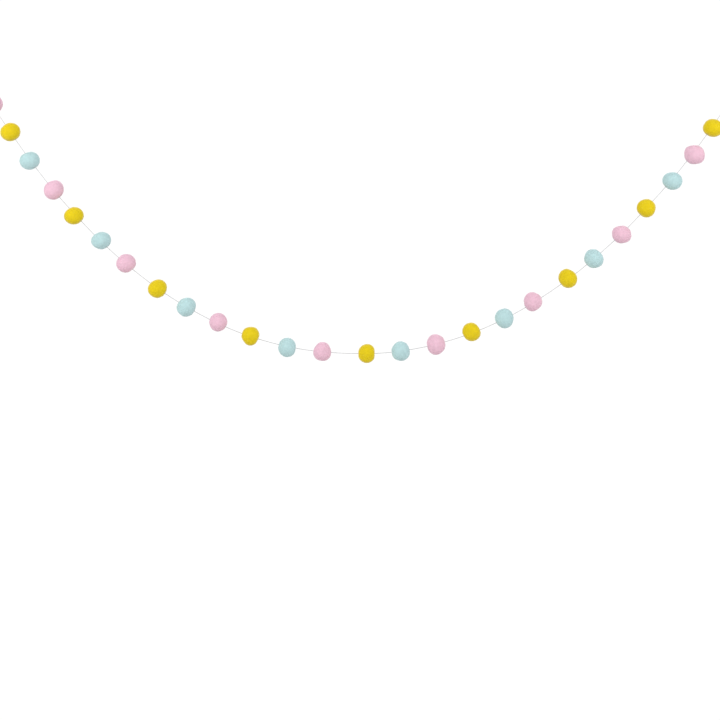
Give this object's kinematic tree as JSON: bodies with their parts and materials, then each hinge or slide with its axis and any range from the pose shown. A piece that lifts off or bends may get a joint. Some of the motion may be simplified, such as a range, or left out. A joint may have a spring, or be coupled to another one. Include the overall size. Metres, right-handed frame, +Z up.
{
  "type": "felt ball garland",
  "caption": "Garland of small felted balls in pink, yellow and pale blue, threaded on a fine white string that hangs in a curve between two tied loops.",
  "frame": {"origin": "the point that the left hanging loop hangs from, in the middle of the hook or nail that goes through it", "axes": "+X along the garland to the right hanging loop, +Z up, -Y towards the viewer"},
  "size_m": [1.06, 0.0284, 0.4054],
  "materials": {
    "felt_pink": "soft matt felt, pale pink",
    "felt_yellow": "soft matt felt, yellow",
    "felt_blue": "soft matt felt, pale blue",
    "string_white": "fine twisted white thread"
  },
  "bodies": {
    "root": {"string": "string_white", "loop_left": "string_white", "loop_right": "string_white", "ball_01_pink": "felt_pink", "ball_02_yellow": "felt_yellow", "ball_03_blue": "felt_blue", "ball_04_pink": "felt_pink", "ball_05_yellow": "felt_yellow", "ball_06_blue": "felt_blue", "ball_07_pink": "felt_pink", "ball_08_yellow": "felt_yellow", "ball_09_blue": "felt_blue", "ball_10_pink": "felt_pink", "ball_11_yellow": "felt_yellow", "ball_12_blue": "felt_blue", "ball_13_pink": "felt_pink", "ball_14_yellow": "felt_yellow", "ball_15_blue": "felt_blue", "ball_16_pink": "felt_pink", "ball_17_yellow": "felt_yellow", "ball_18_blue": "felt_blue", "ball_19_pink": "felt_pink", "ball_20_yellow": "felt_yellow", "ball_21_blue": "felt_blue", "ball_22_pink": "felt_pink", "ball_23_yellow": "felt_yellow", "ball_24_blue": "felt_blue", "ball_25_pink": "felt_pink", "ball_26_yellow": "felt_yellow"}
  },
  "joints": []
}
